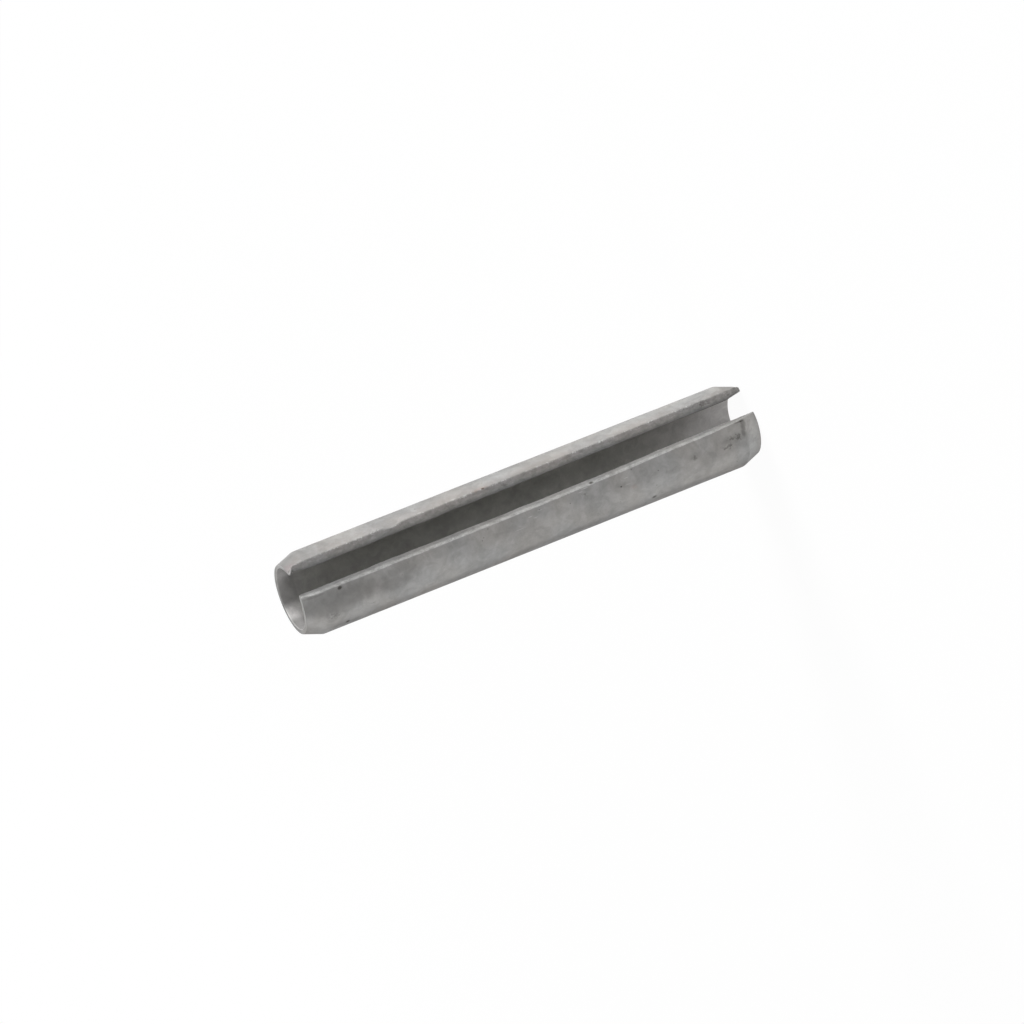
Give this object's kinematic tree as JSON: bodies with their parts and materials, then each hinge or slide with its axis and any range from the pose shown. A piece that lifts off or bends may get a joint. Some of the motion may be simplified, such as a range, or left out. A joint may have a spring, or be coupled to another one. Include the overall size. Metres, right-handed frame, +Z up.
{
  "type": "spring roll pin",
  "caption": "Slotted spring pin rolled from steel strip, with a lengthwise slot with bevelled lips and both ends nosed, for driving into a plain drilled hole.",
  "frame": {"origin": "on the axis of the barrel, halfway up the pin", "axes": "+Z up along the pin, which stands on one end; -Y out through the middle of the slot at mid-height; +X across"},
  "size_m": [0.0084, 0.0081, 0.05],
  "materials": {
    "spring_steel": "matt grey zinc-like or blasted surface, slightly mottled"
  },
  "bodies": {
    "root": {"spring_pin": "spring_steel"}
  },
  "joints": []
}
